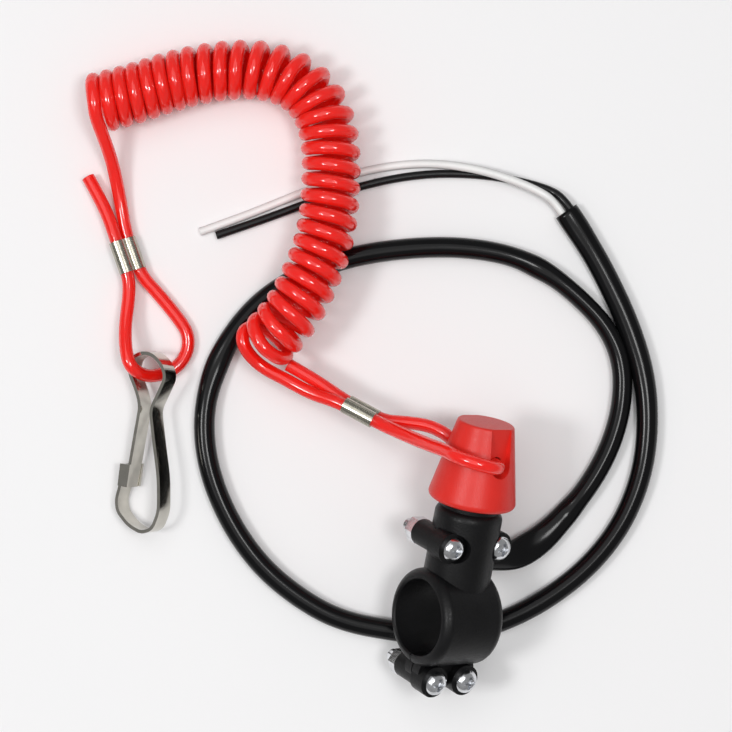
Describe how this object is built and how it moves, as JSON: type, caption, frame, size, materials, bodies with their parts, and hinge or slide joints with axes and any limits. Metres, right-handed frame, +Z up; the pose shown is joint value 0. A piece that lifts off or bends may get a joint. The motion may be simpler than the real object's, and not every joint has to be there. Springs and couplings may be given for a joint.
{
  "type": "engine kill switch with lanyard",
  "caption": "Handlebar kill switch: split clamp housing with plunger switch, pull-off red cap on a coiled lanyard with snap hook, sleeved cable with bare wires.",
  "frame": {"origin": "on the table, under the middle of the box round the housing, its screws and the cap", "axes": "+Z up from the table, +Y along the table in the way the tower and cap point, +X to the right of it; the switch lies as it is put down, with the bar bore tilted 35 degrees"},
  "size_m": [0.1709, 0.1916, 0.0476],
  "materials": {
    "housing_nylon": "matt",
    "cap_red": "satin",
    "base_plastic": "matt",
    "plunger_plastic": "satin",
    "brass": "satin",
    "spring_steel": "bright",
    "lead_black": "gloss",
    "lead_white": "satin",
    "sleeve_pvc": "gloss",
    "lanyard_red": "gloss",
    "nickel": "polished",
    "zinc": "bright"
  },
  "bodies": {
    "switch": {"housing_front": "housing_nylon", "housing_rear": "housing_nylon", "tower_screw_left": "zinc", "tower_screw_right": "zinc", "tower_nut_left": "zinc", "tower_nut_right": "zinc", "clamp_screw_left": "zinc", "clamp_screw_right": "zinc", "clamp_nut_left": "zinc", "clamp_nut_right": "zinc", "contact_base": "base_plastic", "terminal_left": "brass", "terminal_right": "brass", "plunger_spring": "spring_steel", "inner_lead_black": "lead_black", "inner_lead_white": "lead_white", "cable_sleeve": "sleeve_pvc", "black_wire": "lead_black", "white_wire": "lead_white"},
    "plunger": {"plunger": "plunger_plastic", "contact_bridge": "brass"},
    "cap": {"cap": "cap_red", "lanyard_cap_loop": "lanyard_red", "lanyard_coil": "lanyard_red", "lanyard_hook_loop": "lanyard_red", "ferrule_cap_end": "nickel", "ferrule_hook_end": "nickel", "snap_hook": "nickel"}
  },
  "joints": [
    {"name": "cap_pull", "type": "slide", "parent": "switch", "child": "cap", "axis": [0.174, 0.9619, 0.211], "range_m": [0, 0.014]},
    {"name": "plunger_rise", "type": "slide", "parent": "switch", "child": "plunger", "axis": [0.174, 0.9619, 0.211], "range_m": [0, 0.003], "deforming": ["plunger_spring"]}
  ],
  "couplings": [
    {"joint": "plunger_rise", "follows": "cap_pull", "ratio": 0.214}
  ]
}
